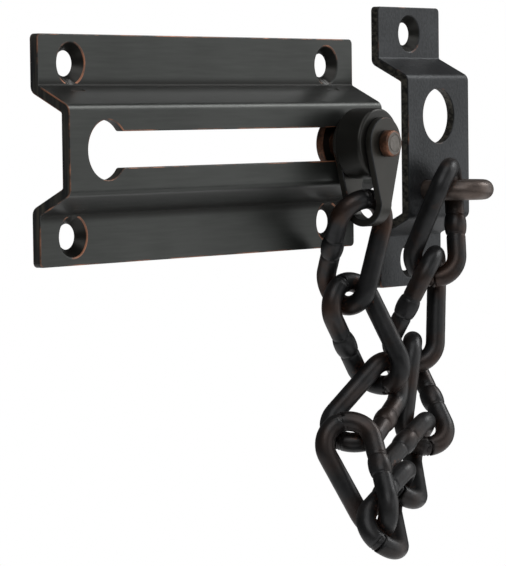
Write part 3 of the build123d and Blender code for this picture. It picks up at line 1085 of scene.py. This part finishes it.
class DOORCHAIN_OT_chain(bpy.types.Operator):
    """Builds the staple and the chain of twisted links"""

    bl_idname = "door_chain.chain"
    bl_label = "Staple and links"

    def execute(self, context):
        settings = context.scene.door_chain
        plates, fittings, chain = settings.plates, settings.fittings, settings.chain
        stock = finishes(settings)
        black, worn = stock["blackened_bronze_wire"], stock["worn_bronze_wire"]
        radius = chain.wire / 2
        shape, swells = link_path(chain)
        lines = [[middle + axes @ point for point in shape]
                 for middle, axes in hanging_chain(plates, fittings, chain)]
        bend_up = fittings.strap / 2 - fittings.strap_reach
        bend = Vector((node_size("slide_stud")[2], bend_up, stirrup_levels(plates, fittings).middle))
        staple_line = staple_path(plates, fittings)
        runs = [[bend], *lines, staple_line]
        for place, line in enumerate(lines, 1):
            node = f"link_{place}"
            piece = wire_piece(f"{node}_wire", line, swells, True, radius, chain.sides, black)
            self.hold_to_node(piece, node)
            mark_wear(piece, runs[place - 1] + runs[place + 1], radius, chain.wear_reach)
            put_on(piece, node, [node], "chain_bronze", black)
        even = [1.0] * len(staple_line)
        thick = fittings.staple_wire / 2
        staple = wire_piece("staple_wire", staple_line, even, False, thick, chain.sides, worn)
        self.add_heads(staple, plates, fittings)
        mark_wear(staple, lines[-1], radius, chain.wear_reach)
        put_on(staple, "plates", ["staple"], "chain_bronze", worn)
        return {"FINISHED"}

    def hold_to_node(self, piece, node):
        """Stops the script if a link isn't where its CAD node is."""
        low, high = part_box(node)
        for axis in range(3):
            values = [vert.co[axis] for vert in piece.data.vertices]
            away = max(abs(min(values) - low[axis]), abs(max(values) - high[axis]))
            if away > NODE_TOLERANCE:
                raise RuntimeError(f"{piece.name} is {away / MM:.2f} mm away from {node}")

    def add_heads(self, staple, plates, fittings):
        """Joins the two riveted ends to the staple."""
        front, back = plates.rise, plates.rise - fittings.staple_head_thick
        wide = fittings.staple_head / 2
        back_edge, front_edge = 0.35 * MM, 0.1 * MM
        outline = [(0, back, 0), (wide, back, back_edge), (wide, front, front_edge), (0, front, 0)]
        build = bmesh.new()
        build.from_mesh(staple.data)
        for x, up in staple_feet(fittings):
            head = turned("head", outline, x, up, steps=40)
            build.from_mesh(head.data)
            bpy.data.objects.remove(head)
        build.to_mesh(staple.data)
        build.free()
        smooth(staple)


class DOORCHAIN_OT_stage(bpy.types.Operator):
    """Sets the floor, the soft light and the camera"""

    bl_idname = "door_chain.stage"
    bl_label = "Stage"

    def execute(self, context):
        stage = context.scene.door_chain.stage
        self.floor(stage)
        self.sky(stage)
        for name, place, width in LAMPS:
            self.lamp(name, place, width, getattr(stage, name))
        self.camera(stage)
        context.scene.view_settings.view_transform = "Standard"
        return {"FINISHED"}

    def floor(self, stage):
        """A round pale floor below the chain."""
        build = bmesh.new()
        bmesh.ops.create_circle(build, cap_ends=True, segments=96, radius=stage.floor_size)
        bmesh.ops.translate(build, verts=build.verts, vec=(stage.floor_shift, 0, -stage.floor_drop))
        floor = finished("floor", build)
        # Matte and evenly white, with a glow of its own so that it melts into the white room.
        material = bpy.data.materials.new("matte_white_paper")
        material.use_nodes = True
        tree = material.node_tree
        connect(tree, tree.nodes["Principled BSDF"],
                {"Base Color": stage.floor, "Roughness": 0.9,
                 "Emission Color": stage.floor, "Emission Strength": stage.floor_glow})
        floor.data.materials.append(material)

    def sky(self, stage):
        """White where it is seen, dim where it lights the object."""
        sky = bpy.data.worlds.new("white_room")
        sky.use_nodes = True
        tree = sky.node_tree
        seen = add(tree, "ShaderNodeLightPath").outputs["Is Camera Ray"]
        level = add(tree, "ShaderNodeMapRange", {"Value": seen, "To Min": stage.sky, "To Max": 1.0})
        connect(tree, tree.nodes["Background"], {"Color": (1, 1, 1, 1), "Strength": level.outputs["Result"]})
        bpy.context.scene.world = sky

    def lamp(self, name, place, width, power):
        """A square soft lamp that faces the object."""
        lamp = bpy.data.lights.new(name, "AREA")
        lamp.size = width
        lamp.energy = power
        holder = new_object(name, lamp)
        holder.location = place
        aim = OBJECT_MIDDLE - Vector(place)
        holder.rotation_euler = aim.to_track_quat("-Z", "Y").to_euler()

    def camera(self, stage):
        """The photograph's view, taking in a little more."""
        ahead = Vector((sin(stage.yaw), cos(stage.yaw), 0))
        forward = ahead * cos(stage.pitch) - Vector((0, 0, sin(stage.pitch)))
        level = Vector((cos(stage.yaw), -sin(stage.yaw), 0))
        upright = level.cross(forward)
        right = level * cos(stage.roll) + upright * sin(stage.roll)
        upward = upright * cos(stage.roll) - level * sin(stage.roll)
        lens = bpy.data.cameras.new("camera")
        lens.lens = stage.lens
        lens.sensor_width = 36
        lens.clip_start = 0.01
        holder = new_object("camera", lens)
        turn = Matrix((right, upward, -forward)).transposed().to_4x4()
        holder.matrix_world = Matrix.Translation(stage.camera) @ turn
        bpy.context.scene.camera = holder


class DOORCHAIN_PT_panel(bpy.types.Panel):
    """Lists the door chain's pieces"""

    bl_idname = "DOORCHAIN_PT_panel"
    bl_label = "Door chain"
    bl_space_type = "VIEW_3D"
    bl_region_type = "UI"
    bl_category = "Door chain"

    def draw(self, context):
        for operator in OPERATORS:
            self.layout.operator(operator.bl_idname)


SETTINGS = (PlateSettings, FittingSettings, ChainSettings, FinishSettings, StageSettings, DoorChainSettings)
OPERATORS = (DOORCHAIN_OT_plates, DOORCHAIN_OT_fittings, DOORCHAIN_OT_chain, DOORCHAIN_OT_stage)


def register():
    for kind in (*SETTINGS, *OPERATORS, DOORCHAIN_PT_panel):
        bpy.utils.register_class(kind)
    bpy.types.Scene.door_chain = bpy.props.PointerProperty(type=DoorChainSettings, name="Door chain",
                                                           description="All settings of the door chain")


def unregister():
    del bpy.types.Scene.door_chain
    for kind in (DOORCHAIN_PT_panel, *OPERATORS[::-1], *SETTINGS[::-1]):
        bpy.utils.unregister_class(kind)


def main():
    register()
    bpy.ops.door_chain.plates()
    bpy.ops.door_chain.fittings()
    bpy.ops.door_chain.chain()
    bpy.ops.door_chain.stage()


if __name__ == "__main__":
    main()
